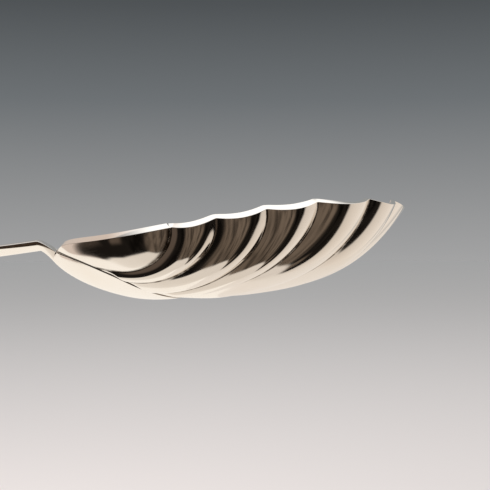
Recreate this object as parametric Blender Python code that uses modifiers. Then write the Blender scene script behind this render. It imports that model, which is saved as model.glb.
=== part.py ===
"""Silver teaspoon with a fluted shell bowl and a plain handle soldered under the bowl's heel.

Metres, +Z up. The spoon stands the way it rests on a table at z = 0: on the drop under the bowl's belly and
the underside of the handle's end. +X points to the bowl's tip, and the spoon is the same on both sides of
y = 0. Shapes are worked out in a bowl frame first (x = 0 at the heel, z = 0 on the straight line from the
heel's rim to the tip's rim) and turned into the rest pose at the end.
"""
import math

import bmesh
import bpy
import numpy as np
from mathutils import Matrix

MM = 0.001

# Bowl outline, measured along the creases between the flutes
BOWL_LENGTH = 48.1 * MM
BOWL_HALF_WIDTH = 16.5 * MM
WIDEST_SHARE = 0.47
HEEL_OUTLINE_POWER = 1.62
HEEL_OUTLINE_TURN = 1.5
TIP_OUTLINE_POWER = 2.1
OUTLINE_STEPS = 4000

# Bowl depth below the rim line, with how full the wall is at the heel, the sides and the tip
BOWL_DEPTH = 9.25 * MM
RIM_ARCH = 0.70 * MM
RIM_SKEW = 1.9
TIP_DIP = 0.25 * MM
TIP_DIP_POWER = 8
HEEL_POWERS = (1.96, 0.675)
SIDE_POWERS = (3.40, 0.493)
TIP_POWERS = (3.55, 0.994)
BOWL_SHEET = 0.65 * MM

# Creases from tip to heel: where each meets the rim, as a share of the bowl's length, and how it curves
CREASE_SHARES = (0.977, 0.896, 0.7505, 0.615, 0.481, 0.3615)
CREASE_CURVES = (4.48, 1.54, 0.79, 0.88, 0.58, 0.57)
CREASE_LEAD = 0.1

# Flutes from the tip's to the heel's: swell as a share of the width, and how far the rim sags between cusps
FLUTE_RISES = (0.105, 0.100, 0.105, 0.105, 0.112, 0.140, 0.105)
RIM_SAGS = (0.10 * MM, 0.30 * MM, 0.45 * MM, 0.50 * MM, 0.50 * MM, 0.45 * MM, 0.30 * MM)
FLUTE_WIDEST = 9.0 * MM
HEEL_PANEL_WIDTH = 6.0 * MM
HEEL_PANEL_SKEW = 0.4
FLUTE_CLEAR = 1.0 * MM
FLUTE_FADE = 2.0 * MM

# Heel edge of the bowl sheet, bowed back in the middle, and the dressed rim
HEEL_EDGE = 0.1 * MM
HEEL_BOW = 0.45 * MM
HEEL_EDGE_HALF = 1.9 * MM
FAN_HALF = 1.0 * MM
HEEL_CORNER = 1.8 * MM
RIM_DRESSING = 0.52 * MM
CREST_DRESSING = 0.16 * MM
DRESSING_FADE = (1.5, 2.9)
DRESSING_POWER = 6

# Drop: the broad tongue of the handle that laps under the heel
DROP_CENTRE = 9.3 * MM
DROP_RADIUS = 9.2 * MM
DROP_FRONT = 7.5 * MM
DROP_BACK = 9.4 * MM
DROP_FRONT_POWER = 2.0
DROP_BACK_POWER = 1.5
DROP_THICK = 0.7 * MM
DROP_EDGE = 0.16 * MM
LAP_GAP = 0.22 * MM
SOLDER_CLEAR = 0.06 * MM
SOLDER_FILLET = 0.15 * MM
SOLDER_START = 2.4 * MM

# Neck: from the seat under the bowl's edge back to the first handle station
SEAT_START = 0.5 * MM
NECK_SWEEP = 1.35

# Handle stations from neck to end: distance behind the heel, top height, half width, edge, crown below it
STATIONS = (
    (1.9 * MM, 1.70 * MM, 2.3 * MM, 0.60 * MM, 0.75 * MM),
    (8.0 * MM, 1.75 * MM, 2.3 * MM, 0.45 * MM, 0.95 * MM),
    (24.0 * MM, 3.20 * MM, 2.5 * MM, 0.80 * MM, 1.05 * MM),
    (45.0 * MM, 6.50 * MM, 3.7 * MM, 0.85 * MM, 0.75 * MM),
    (62.0 * MM, 8.10 * MM, 5.1 * MM, 0.80 * MM, 0.55 * MM),
    (78.0 * MM, 7.80 * MM, 6.3 * MM, 0.75 * MM, 0.45 * MM),
    (89.0 * MM, 6.50 * MM, 6.4 * MM, 0.70 * MM, 0.35 * MM),
)
STEM_CROWN = 0.2 * MM
END_ROUND = 8.0 * MM
WEAR_FLAT = 0.08 * MM

# Mesh fineness
COLUMNS_PER_FLUTE = 6
HEEL_COLUMNS = 8
HEEL_GRADING = 1.8
BOWL_ROWS = 22
ROW_CROWDING = 0.6
STEM_RINGS = 34
NECK_RINGS = 8
DROP_RINGS = 20
DROP_FIRST_ANGLE = math.radians(5.0)
END_RINGS = 10
END_LAST_ANGLE = math.radians(86.0)
RING_STEPS = 16
MERGE = 0.001 * MM
SLOPE_STEP = 0.02 * MM
TINY = 1e-12

# Metals: colour and roughness
SILVER = (0.93, 0.91, 0.88)
BOWL_ROUGHNESS = 0.12
HANDLE_ROUGHNESS = 0.14
SOLDER = (0.86, 0.85, 0.82)
SOLDER_ROUGHNESS = 0.3
COLLECTION = "teaspoon"

# Tilts between which the rest pose is looked for
TILT_SEARCH = (math.radians(-5.0), math.radians(20.0))
TILT_STEPS = 60


def smooth_step(value):
    """0 below 0, 1 above 1 and an easy curve between."""
    share = np.clip(value, 0.0, 1.0)
    return share * share * (3.0 - 2.0 * share)


def outline_share(x):
    """Signed distance from the widest place, -1 at the heel and +1 at the tip."""
    widest = WIDEST_SHARE * BOWL_LENGTH
    return np.where(x < widest, (x - widest) / widest, (x - widest) / (BOWL_LENGTH - widest))


def outline_power(share, turn):
    """Power of the oval at a place round it: rounder at sides and tip, more pointed towards the heel."""
    heel = HEEL_OUTLINE_POWER + (TIP_OUTLINE_POWER - HEEL_OUTLINE_POWER) * turn ** HEEL_OUTLINE_TURN
    return np.where(share < 0, heel, TIP_OUTLINE_POWER)


def outline_point(angle):
    """Plan point on the crease outline, +Y side, at an angle round it, 0 at the tip and pi at the heel."""
    cosine = np.cos(angle)
    sine = np.abs(np.sin(angle))
    power = outline_power(cosine, sine * sine)
    reach = (np.abs(cosine) ** power + sine ** power) ** (-1.0 / power)
    widest = WIDEST_SHARE * BOWL_LENGTH
    length = np.where(cosine < 0, widest, BOWL_LENGTH - widest)
    return widest + length * reach * cosine, BOWL_HALF_WIDTH * reach * sine


def outline_angle(x):
    """Angle round the outline at a place along the bowl."""
    angles = np.linspace(math.pi, 0.0, OUTLINE_STEPS + 1)
    return np.interp(x, outline_point(angles)[0], angles)


def bowl_height(x, y):
    """Height of the bowl's outer skin along the creases, before the flutes swell out of it."""
    share = outline_share(x)
    side = np.abs(y) / BOWL_HALF_WIDTH
    turn = side * side / np.maximum(share * share + side * side, TINY)
    power = outline_power(share, turn)
    reach = (np.abs(share) ** power + side ** power) ** (1.0 / power)
    first = np.where(share < 0, HEEL_POWERS[0], TIP_POWERS[0]) * (1.0 - turn) + SIDE_POWERS[0] * turn
    second = np.where(share < 0, HEEL_POWERS[1], TIP_POWERS[1]) * (1.0 - turn) + SIDE_POWERS[1] * turn
    dish = np.clip(1.0 - np.clip(reach, 0.0, 1.0) ** first, 0.0, None) ** second
    rim = RIM_ARCH * side * side * (1.0 + RIM_SKEW * share)
    rim = rim - TIP_DIP * np.clip(share, 0.0, None) ** TIP_DIP_POWER
    return rim - BOWL_DEPTH * dish


def outward_normals(points):
    """Unit normals of a grid of points, turned to face down and away from the bowl's inside."""
    along = np.gradient(points, axis=0)
    across = np.gradient(points, axis=1)
    normal = np.cross(along, across)
    length = np.linalg.norm(normal, axis=2, keepdims=True)
    normal = normal / np.maximum(length, TINY)
    centre = np.array([BOWL_LENGTH * WIDEST_SHARE, 0.0, 0.0])
    facing = np.sum(normal * (points - centre), axis=2, keepdims=True)
    return np.where(facing < 0, -normal, normal)


def column_places(panels):
    """Places of the grid's columns in flutes from one heel corner, closer where a crease needs it."""
    even = np.arange(COLUMNS_PER_FLUTE) / COLUMNS_PER_FLUTE
    graded = (np.arange(HEEL_COLUMNS + 1) / HEEL_COLUMNS) ** HEEL_GRADING
    places = [1.0 - graded[:0:-1]]
    places += [panel + even for panel in range(1, panels - 1)]
    places += [panels - 1 + graded]
    return np.concatenate(places)


def beyond_drop(x, y):
    """How far a plan point lies outside the drop's outline, measured from the drop's middle."""
    ahead = x - DROP_CENTRE
    behind = ahead < 0
    power = np.where(behind, DROP_BACK_POWER, DROP_FRONT_POWER)
    along = np.abs(ahead) / np.where(behind, DROP_BACK, DROP_FRONT)
    reach = (along ** power + (np.abs(y) / DROP_RADIUS) ** power) ** (1.0 / power)
    return np.hypot(ahead, y) * (1.0 - 1.0 / np.maximum(reach, TINY))


def bowl_skin():
    """Grid of points on the fluted outer skin, rows from heel edge to rim, and each point's rim dressing."""
    panels = 2 * len(CREASE_SHARES) + 1
    last = 0.5 * panels
    angles = [0.0, *outline_angle(np.array(CREASE_SHARES) * BOWL_LENGTH), float(outline_angle(HEEL_CORNER))]
    marks = [0.0, *(0.5 + np.arange(len(CREASE_SHARES))), last]
    place = column_places(panels)
    column = place - last
    rim_x, rim_y = outline_point(np.interp(np.abs(column), marks, angles))
    rim_y = rim_y * np.sign(column)
    start_y = np.interp(np.abs(column), [0.0, last - 1.0, last], [0.0, FAN_HALF, HEEL_EDGE_HALF])
    start_x = HEEL_EDGE + HEEL_BOW * (start_y / HEEL_EDGE_HALF) ** 2
    start_y = start_y * np.sign(column)
    row = np.linspace(0.0, 1.0, BOWL_ROWS + 1)[:, None]
    share = ROW_CROWDING * 0.5 * (1.0 - np.cos(math.pi * row)) + (1.0 - ROW_CROWDING) * row
    curve = np.interp(np.abs(column), marks, [CREASE_CURVES[0], *CREASE_CURVES, 1.0])
    lead = CREASE_LEAD ** curve
    bent = ((share + CREASE_LEAD) ** curve - lead) / ((1.0 + CREASE_LEAD) ** curve - lead)
    x = start_x + (rim_x - start_x) * share
    y = start_y + (rim_y - start_y) * bent
    skin = np.stack([x, y, bowl_height(x, y)], axis=2)

    panel = np.clip(np.floor(place), 0, panels - 1).astype(int)
    corner = np.arange(panels + 1) - last
    corner_x, corner_y = outline_point(np.interp(np.abs(corner), marks, angles))
    width = np.hypot(np.diff(corner_x), np.diff(corner_y * np.sign(corner)))
    width = np.minimum(width, FLUTE_WIDEST)
    width[0] = HEEL_PANEL_WIDTH
    width[-1] = HEEL_PANEL_WIDTH
    across = place - panel
    across = np.where(panel == 0, 1.0 - (1.0 - across) ** HEEL_PANEL_SKEW, across)
    across = np.where(panel == panels - 1, across ** HEEL_PANEL_SKEW, across)
    arch = 4.0 * across * (1.0 - across)

    sags = np.array(RIM_SAGS[:0:-1] + RIM_SAGS)
    lowered = sags[panel] * arch / (skin[-1, :, 2] + BOWL_DEPTH)
    skin[:, :, 2] = -BOWL_DEPTH + (skin[:, :, 2] + BOWL_DEPTH) * (1.0 - lowered * share ** 2)
    clear = beyond_drop(skin[:, :, 0], skin[:, :, 1]) - FLUTE_CLEAR
    rises = np.array(FLUTE_RISES[:0:-1] + FLUTE_RISES)
    swell = rises[panel] * width[panel] * arch * share * smooth_step(clear / FLUTE_FADE)
    skin = skin + outward_normals(skin) * swell[:, :, None]
    inner, outer = DRESSING_FADE
    faded = smooth_step((np.abs(column) - inner) / (outer - inner))
    return skin, (RIM_DRESSING + CREST_DRESSING * arch) * faded * share ** DRESSING_POWER


def lap_surface(x, y, offset):
    """Points a set distance outside the bowl's unfluted skin, for the pieces that lap under the heel."""
    step = SLOPE_STEP
    slope_x = (bowl_height(x + step, y) - bowl_height(x - step, y)) / (2.0 * step)
    slope_y = (bowl_height(x, y + step) - bowl_height(x, y - step)) / (2.0 * step)
    length = np.sqrt(slope_x ** 2 + slope_y ** 2 + 1.0)
    return np.stack([x + offset * slope_x / length,
                     y + offset * slope_y / length,
                     bowl_height(x, y) - offset / length], axis=-1)


def drop_half_width(x, grown=0.0):
    """Half width of the drop in plan: round in front, drawn in more pointed towards the neck."""
    behind = x < DROP_CENTRE
    power = DROP_BACK_POWER if behind else DROP_FRONT_POWER
    share = abs(x - DROP_CENTRE) / ((DROP_BACK if behind else DROP_FRONT) + grown)
    return (DROP_RADIUS + grown) * max(1.0 - share ** power, 0.0) ** (1.0 / power)


def drop_thickness(x, y):
    """Thickness of the drop, thinned to a fine edge all round its lap."""
    ahead = max(x - DROP_CENTRE, 0.0)
    across = y / (DROP_RADIUS if ahead > 0.0 else drop_half_width(x))
    away = np.hypot(ahead / DROP_FRONT, across)
    return DROP_EDGE + (DROP_THICK - DROP_EDGE) * (1.0 - np.clip(away, 0.0, 1.0) ** 2)


def station(back):
    """Top height, half width, edge and crown of the handle at a distance behind the heel, smoothed."""
    table = np.array(STATIONS)
    at = table[:, 0]
    values = []
    for column in range(1, table.shape[1]):
        known = table[:, column]
        slope = np.gradient(known, at)
        slope[0] = 0.0
        i = int(np.clip(np.searchsorted(at, back) - 1, 0, len(at) - 2))
        run = at[i + 1] - at[i]
        s = (back - at[i]) / run
        values.append((2 * s ** 3 - 3 * s ** 2 + 1) * known[i] + (s ** 3 - 2 * s ** 2 + s) * run * slope[i]
                      + (3 * s ** 2 - 2 * s ** 3) * known[i + 1] + (s ** 3 - s ** 2) * run * slope[i + 1])
    return values


def ring_shares():
    """Places across a ring from one edge to the other, closer together at the edges."""
    return -np.cos(np.linspace(0.0, math.pi, RING_STEPS + 1))


def drop_ring(x):
    """Top and bottom rows of the drop's cross-section at a place along it."""
    y = drop_half_width(x) * ring_shares()
    along = np.full_like(y, x)
    top = lap_surface(along, y, LAP_GAP)
    bottom = lap_surface(along, y, LAP_GAP + drop_thickness(x, y))
    return top, bottom


def stem_ring(back):
    """Top and bottom rows of the stem's cross-section at a distance behind the heel."""
    height, half, edge, crown = station(back)
    end = STATIONS[-1][0]
    left = max(end - back, 0.0)
    if left < END_ROUND:
        half = half * math.sqrt(max(1.0 - (1.0 - left / END_ROUND) ** 2, 0.0))
    share = ring_shares()
    y = half * share
    x = np.full_like(y, -back)
    top = np.stack([x, y, height - STEM_CROWN * share ** 2], axis=-1)
    bottom = np.stack([x, y, height - STEM_CROWN - edge - crown * (1.0 - share ** 2)], axis=-1)
    return top, bottom


def neck_rings(seat_top, seat_bottom):
    """Rings that carry the stem down into the round underside of the drop."""
    stem_top, stem_bottom = stem_ring(STATIONS[0][0])
    rings = []
    for share in np.linspace(0.0, 1.0, NECK_RINGS)[1:]:
        sweep = 1.0 - (1.0 - share) ** NECK_SWEEP
        top = seat_top * (1.0 - sweep) + stem_top * sweep
        bottom = seat_bottom * (1.0 - sweep) + stem_bottom * sweep
        top[:, 0] = seat_top[:, 0] * (1.0 - share) + stem_top[:, 0] * share
        bottom[:, 0] = seat_bottom[:, 0] * (1.0 - share) + stem_bottom[:, 0] * share
        rings.append((top, bottom))
    return rings


def handle_rings():
    """All rings of the handle from the drop's round end to the handle's end."""
    rings = []
    last = math.acos((SEAT_START - DROP_CENTRE) / DROP_BACK)
    for angle in np.linspace(DROP_FIRST_ANGLE, last, DROP_RINGS):
        reach = DROP_FRONT if angle < 0.5 * math.pi else DROP_BACK
        rings.append(drop_ring(DROP_CENTRE + reach * math.cos(angle)))
    rings += neck_rings(*rings[-1])
    neck = STATIONS[0][0]
    end = STATIONS[-1][0]
    for share in np.linspace(0.0, 1.0, STEM_RINGS)[1:]:
        rings.append(stem_ring(neck + (end - END_ROUND - neck) * share))
    for angle in np.linspace(0.0, END_LAST_ANGLE, END_RINGS)[1:]:
        rings.append(stem_ring(end - END_ROUND * (1.0 - math.sin(angle))))
    return rings


def solder_rings():
    """Rings of the thin solder layer between the bowl and the drop, a little wider than the drop."""
    last = math.acos((SOLDER_START - DROP_CENTRE) / (DROP_BACK + SOLDER_FILLET))
    rings = []
    for angle in np.linspace(DROP_FIRST_ANGLE, last, DROP_RINGS):
        reach = (DROP_FRONT if angle < 0.5 * math.pi else DROP_BACK) + SOLDER_FILLET
        x = DROP_CENTRE + reach * math.cos(angle)
        y = drop_half_width(x, SOLDER_FILLET) * ring_shares()
        along = np.full_like(y, x)
        rings.append((lap_surface(along, y, SOLDER_CLEAR), lap_surface(along, y, LAP_GAP - SOLDER_CLEAR)))
    return rings


def grid_mesh(points):
    """A bmesh grid bent onto an array of points, rows by columns."""
    rows, columns = points.shape[:2]
    mesh = bmesh.new()
    bmesh.ops.create_grid(mesh, x_segments=columns - 1, y_segments=rows - 1, size=1.0)
    for vertex in mesh.verts:
        column = round((vertex.co.x + 1.0) / 2.0 * (columns - 1))
        row = round((vertex.co.y + 1.0) / 2.0 * (rows - 1))
        vertex.co = points[row, column]
    return mesh


def add_object(mesh, name, colour, roughness):
    """Turns a bmesh into a named object with its own metal."""
    data = bpy.data.meshes.new(name)
    mesh.to_mesh(data)
    mesh.free()
    item = bpy.data.objects.new(name, data)
    bpy.data.collections[COLLECTION].objects.link(item)
    metal = bpy.data.materials.new(name + "_metal")
    metal.use_nodes = True
    shader = metal.node_tree.nodes["Principled BSDF"]
    shader.inputs["Base Color"].default_value = (*colour, 1.0)
    shader.inputs["Metallic"].default_value = 1.0
    shader.inputs["Roughness"].default_value = roughness
    data.materials.append(metal)
    return item


def build_bowl():
    """The pressed shell: the fluted skin thickened inwards, with the rim dressed to face outwards."""
    skin, dressing = bowl_skin()
    mesh = grid_mesh(skin)
    mesh.normal_update()
    down = sum(face.normal.z * face.calc_area() for face in mesh.faces)
    if down > 0.0:
        bmesh.ops.reverse_faces(mesh, faces=mesh.faces)
    bowl = add_object(mesh, "bowl", SILVER, BOWL_ROUGHNESS)
    sheet = bowl.modifiers.new("sheet", "SOLIDIFY")
    sheet.thickness = BOWL_SHEET
    sheet.offset = -1.0
    bpy.context.view_layer.objects.active = bowl
    bpy.ops.object.modifier_apply(modifier=sheet.name)
    lift = dressing.reshape(-1)
    count = len(lift)
    for vertex in bowl.data.vertices:
        if vertex.index >= count:
            vertex.co.z += lift[vertex.index - count]
    return bowl


def build_from_rings(rings, name, colour, roughness):
    """A solid lofted through rings of top and bottom rows, closed at both ends."""
    points = []
    for top, bottom in rings:
        points.append(np.concatenate([top, bottom[::-1], top[:1]]))
    mesh = grid_mesh(np.array(points))
    bmesh.ops.remove_doubles(mesh, verts=mesh.verts, dist=MERGE)
    bmesh.ops.holes_fill(mesh, edges=[edge for edge in mesh.edges if edge.is_boundary], sides=0)
    bmesh.ops.recalc_face_normals(mesh, faces=mesh.faces)
    return add_object(mesh, name, colour, roughness)


def lowest(points, tilt):
    """Lowest height of some bowl-frame points once the spoon is tilted tip up."""
    return float(np.min(points[:, 0] * math.sin(tilt) + points[:, 2] * math.cos(tilt)))


def vertex_array(item):
    """Vertex positions of an object as an array."""
    return np.array([vertex.co[:] for vertex in item.data.vertices])


def rest_tilt(bowl, handle):
    """Tilt at which the belly, of bowl or drop, and the handle's end touch the table together."""
    whole = vertex_array(handle)
    belly = np.concatenate([vertex_array(bowl), whole[whole[:, 0] > 0.0]])
    end = whole[whole[:, 0] < -STATIONS[-3][0]]
    low, high = TILT_SEARCH
    for _ in range(TILT_STEPS):
        middle = 0.5 * (low + high)
        if lowest(end, middle) > lowest(belly, middle):
            low = middle
        else:
            high = middle
    return 0.5 * (low + high)


def stand_on_table(items, tilt):
    """Tilts the spoon into its rest pose, centres it and wears small flats where it touches the table."""
    turn = Matrix.Rotation(-tilt, 4, "Y")
    for item in items:
        item.data.transform(turn)
    everything = np.concatenate([vertex_array(item) for item in items])
    middle = 0.5 * (everything[:, 0].min() + everything[:, 0].max())
    floor = everything[:, 2].min() + WEAR_FLAT
    for item in items:
        item.data.transform(Matrix.Translation((-middle, 0.0, -floor)))
        mesh = bmesh.new()
        mesh.from_mesh(item.data)
        geometry = mesh.verts[:] + mesh.edges[:] + mesh.faces[:]
        bmesh.ops.bisect_plane(mesh, geom=geometry, dist=MERGE, plane_co=(0, 0, 0), plane_no=(0, 0, 1),
                               clear_inner=True)
        bmesh.ops.holes_fill(mesh, edges=[edge for edge in mesh.edges if edge.is_boundary], sides=0)
        bmesh.ops.recalc_face_normals(mesh, faces=mesh.faces)
        mesh.to_mesh(item.data)
        mesh.free()
        item.data.update()


def build():
    """Clears the scene and builds the spoon."""
    for item in list(bpy.data.objects):
        bpy.data.objects.remove(item, do_unlink=True)
    collection = bpy.data.collections.new(COLLECTION)
    bpy.context.scene.collection.children.link(collection)
    bowl = build_bowl()
    handle = build_from_rings(handle_rings(), "handle", SILVER, HANDLE_ROUGHNESS)
    solder = build_from_rings(solder_rings(), "solder_seam", SOLDER, SOLDER_ROUGHNESS)
    tilt = rest_tilt(bowl, handle)
    stand_on_table([bowl, handle, solder], tilt)


build()
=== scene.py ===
"""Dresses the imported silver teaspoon: fluted shell bowl, handle and solder line in polished silver.

The three pieces are shaped again as in the solids, with a finer mesh, fuller flutes and rounded creases and
edges, and take the solids' place in the picture. Shapes are worked out in a bowl frame (x = 0 at the heel,
z = 0 on the line from the heel's rim to the tip's rim) and then set down in the rest pose.
"""
import math

import bpy
import numpy as np
from mathutils import Matrix


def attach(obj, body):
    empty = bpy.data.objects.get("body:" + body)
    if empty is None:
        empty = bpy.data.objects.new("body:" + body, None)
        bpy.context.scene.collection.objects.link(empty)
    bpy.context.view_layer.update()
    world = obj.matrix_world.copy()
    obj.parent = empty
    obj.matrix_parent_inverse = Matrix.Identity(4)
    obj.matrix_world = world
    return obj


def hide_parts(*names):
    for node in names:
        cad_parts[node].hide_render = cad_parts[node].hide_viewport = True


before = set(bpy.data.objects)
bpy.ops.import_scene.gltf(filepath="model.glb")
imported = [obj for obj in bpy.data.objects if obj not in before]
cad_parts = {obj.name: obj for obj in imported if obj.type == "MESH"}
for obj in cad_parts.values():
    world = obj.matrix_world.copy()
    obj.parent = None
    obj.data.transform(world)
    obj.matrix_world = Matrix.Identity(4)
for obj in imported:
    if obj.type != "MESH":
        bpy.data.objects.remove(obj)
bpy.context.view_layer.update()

MM = 0.001
TINY = 1e-12

# Rest pose: tilt of the bowl frame, and where its origin comes to lie
REST_TILT = math.radians(7.8769)
REST_X = 20.2729 * MM
REST_Z = 6.9119 * MM

# Bowl outline, measured along the creases between the flutes
BOWL_LENGTH = 48.1 * MM
BOWL_HALF_WIDTH = 16.5 * MM
WIDEST_SHARE = 0.47
HEEL_OUTLINE_POWER = 1.62
HEEL_OUTLINE_TURN = 1.5
TIP_OUTLINE_POWER = 2.1

# Bowl depth below the rim line, with how full the wall is at the heel, the sides and the tip
BOWL_DEPTH = 9.25 * MM
RIM_ARCH = 0.70 * MM
RIM_SKEW = 1.9
TIP_DIP = 0.25 * MM
TIP_DIP_POWER = 8
HEEL_POWERS = (1.96, 0.675)
SIDE_POWERS = (3.40, 0.493)
TIP_POWERS = (3.55, 0.994)
BOWL_SHEET = 0.65 * MM

# Creases from tip to heel: where each meets the rim, as a share of the bowl's length, and how it curves
CREASE_SHARES = (0.977, 0.896, 0.7505, 0.615, 0.481, 0.3615)
CREASE_CURVES = (4.48, 1.54, 0.79, 0.88, 0.58, 0.57)
CREASE_LEAD = 0.1
CREASE_ROUND = 0.10 * MM

# Flutes from the tip's to the heel's: swell as a share of the width, and its way to rise beyond the drop
FLUTE_RISES = (0.105, 0.150, 0.122, 0.130, 0.138, 0.155, 0.097)
FLUTE_FADES = (9.0 * MM, 9.0 * MM, 7.0 * MM, 3.0 * MM, 1.0 * MM, 1.0 * MM, 4.0 * MM)
FLUTE_WIDEST = 9.0 * MM
HEEL_PANEL_WIDTH = 6.0 * MM
HEEL_PANEL_SPAN = 17.0 * MM
HEEL_PANEL_SKEW = 0.4
# On the inside the swell takes this share of the way from drop to rim to rise
INNER_FADE = 0.6

# Heel edge of the bowl sheet, bowed back in the middle
HEEL_EDGE = 0.1 * MM
HEEL_BOW = 0.45 * MM
HEEL_EDGE_HALF = 1.9 * MM
FAN_HALF = 1.0 * MM
HEEL_CORNER = 1.1 * MM

# Rim: its sag between the cusps from the tip's flute to the heel's, and its lift in the heel panels
RIM_SAGS = (0.10 * MM, 0.30 * MM, 0.45 * MM, 0.50 * MM, 0.50 * MM, 0.45 * MM, 0.0)
HEEL_LIFT = 1.6 * MM
# Dressed band along the rim: height, extra on the crests, and the panels from the tip where it comes in
RIM_DRESSING = 0.52 * MM
CREST_DRESSING = 0.16 * MM
DRESSING_FADE = (1.5, 2.9)
DRESSING_POWER = 6
RIM_ROUND = 0.07 * MM

# Drop: the round tongue of the handle that laps under the heel, and the solder in the lap
DROP_CENTRE = 9.3 * MM
DROP_RADIUS = 9.2 * MM
DROP_FRONT = 7.5 * MM
DROP_BACK = 9.4 * MM
DROP_FRONT_POWER = 2.0
DROP_BACK_POWER = 1.5
DROP_THICK = 0.87 * MM
DROP_EDGE = 0.08 * MM
LAP_GAP = 0.04 * MM
SOLDER_FILLET = 0.12 * MM
SOLDER_START = 0.65 * MM
SOLDER_ROUND = 0.01 * MM

# Neck: from the seat under the bowl's edge back to the first handle station
SEAT_START = 0.5 * MM
NECK_SWEEP = 1.35

# Handle stations from neck to end: distance behind the heel, top height, half width, edge, crown below it
STATIONS = (
    (1.9 * MM, 1.70 * MM, 2.3 * MM, 0.60 * MM, 0.75 * MM),
    (8.0 * MM, 1.75 * MM, 2.3 * MM, 0.45 * MM, 0.95 * MM),
    (24.0 * MM, 3.20 * MM, 2.5 * MM, 0.80 * MM, 1.05 * MM),
    (45.0 * MM, 6.50 * MM, 3.7 * MM, 0.85 * MM, 0.75 * MM),
    (62.0 * MM, 8.10 * MM, 5.1 * MM, 0.80 * MM, 0.55 * MM),
    (78.0 * MM, 7.80 * MM, 6.3 * MM, 0.75 * MM, 0.45 * MM),
    (89.0 * MM, 6.50 * MM, 6.4 * MM, 0.70 * MM, 0.35 * MM),
)
STEM_CROWN = 0.2 * MM
END_ROUND = 8.0 * MM
HANDLE_ROUND = 0.06 * MM

# Mesh fineness of the bowl
OUTLINE_STEPS = 4000
FLUTE_COLUMNS = 18
HEEL_COLUMNS = 30
HEEL_COLUMN_GRADING = 2.2
HIDDEN_ROWS = 14
BOWL_ROWS = 96
SEAM_GRADING = 1.7
RIM_GRADING = 1.25
SEAM_SEARCH = 1200
SEAM_EASE = 3
ROUND_STEPS = 4
ROUND_LIMIT = 0.4

# Mesh fineness of the handle and the solder
SLOPE_STEP = 0.02 * MM
STEM_RINGS = 120
NECK_RINGS = 26
DROP_RINGS = 90
END_RINGS = 26
RING_STEPS = 40
NOSE_STEPS = 12
NOSE_POWER = 4
RING_SIZE = 2 * (RING_STEPS + NOSE_STEPS)
FIRST_ANGLE = math.radians(3.0)
END_LAST_ANGLE = math.radians(87.5)

# Panels across the bowl, and the columns, counted in panels from the tip, of its creases and heel corner
PANELS = 2 * len(CREASE_SHARES) + 1
HEEL_COLUMN = 0.5 * PANELS
MARKS = (0.0, *(0.5 + crease for crease in range(len(CREASE_SHARES))), HEEL_COLUMN)

# Camera: found by fitting the rim cusps, the outlines and the drop's edge together
CAMERA_PLACE = (46.693 * MM, -160.0 * MM, 6.544 * MM)
CAMERA_PITCH = math.radians(0.365)
CAMERA_ROLL = math.radians(-0.096)
CAMERA_LENS = 84.83
CAMERA_SENSOR = 36.0
CAMERA_CLIP = (0.01, 50.0)

# Floor: the spoon is held in the air in the photo, so the floor lies below it
FLOOR_DROP = 40.0 * MM
FLOOR_REACH = 6.0
FLOOR_FAR = (0.363, 0.375, 0.384)
# Painted pool of light on the floor, brighter and warmer towards its middle, over the far colour
FLOOR_LIGHT_POOL = (0.0720, 0.0610, 0.0575)
FLOOR_OFFSET = 0.16
FLOOR_GLOW = 0.275
FLOOR_STEPS = 96
LAMP_SIZE = 0.5
LAMP_POWER = 1.2
LAMP_PLACE = (0.02, -0.05, 0.6)

# Silver, its tarnish and painted shade, and the solder; in the bowl, tarnish with painted shade lies within
# these distances of creases and seam, in mm
SILVER = (0.95, 0.91, 0.86)
WARM_SILVER = (0.90, 0.83, 0.74)
# Tarnish with painted shade, for the bowl's creases and beside the seam
TARNISH_AND_SHADE = (0.10, 0.075, 0.055)
# Painted shade for the sides of the stem
SIDE_SHADE = (0.30, 0.25, 0.21)
SOLDER = (0.46, 0.40, 0.34)
SOLDER_DARK = (0.20, 0.17, 0.14)
CREASE_TARNISH_AND_SHADE = (0.06, 0.20)
SEAM_TARNISH_AND_SHADE = (0.04, 0.16)

# Size of the metal's detail, and how fine the noise for it is
CLOUD_SIZE = 9.0 * MM
RUB_SIZE = 4.0 * MM
WAVE_SIZE = 3.5 * MM
BLOTCH_SIZE = 1.2 * MM
SPOT_SIZE = 0.9 * MM
GRAIN_SIZE = 0.12 * MM
SCRATCH_SIZE = 0.05 * MM
SCRATCH_STRETCH = (30.0, 1.0, 1.0)
NOISE_DETAIL = 3.0
WAVE_DETAIL = 1.0
SPOT_DETAIL = 6.0
GRAIN_DETAIL = 4.0
SCRATCH_DETAIL = 2.0

# Span of the noise over which each detail comes in, and how strong it gets
CLOUD_SPAN = (0.42, 0.75)
CLOUD_SHARE = 0.45
SPOT_SPAN = (0.66, 0.80)
SPOT_SHARE = 0.30
RUB_SPAN = (0.35, 0.75)
# Patches of the bowl's tarnish and painted shade
TARNISH_AND_SHADE_SPAN = (0.30, 0.62)
TARNISH_AND_SHADE_SHARE = (0.55, 1.0)
# Patches of the painted shade on the stem's sides
SIDE_SPAN = (0.25, 0.60)
SIDE_SHARE = (0.6, 1.0)
GRAIN_SPAN = (0.3, 0.7)
SCRATCH_SHARE = 0.02

# Roughness of the metal and height of its bump
POLISH = (0.045, 0.10)
LINE_ROUGHNESS = 0.03
TARNISH_ROUGHNESS = 0.2
SOLDER_POLISH = (0.25, 0.45)
BUMP_STRENGTH = 0.25
BUMP_HEIGHT = 0.02 * MM

# Directions in degrees: azimuth is 0 towards the camera and + to the bowl's tip, elevation is + upwards
HALF_TURN = 180.0
STRAIGHT_DOWN = -90.0

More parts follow.
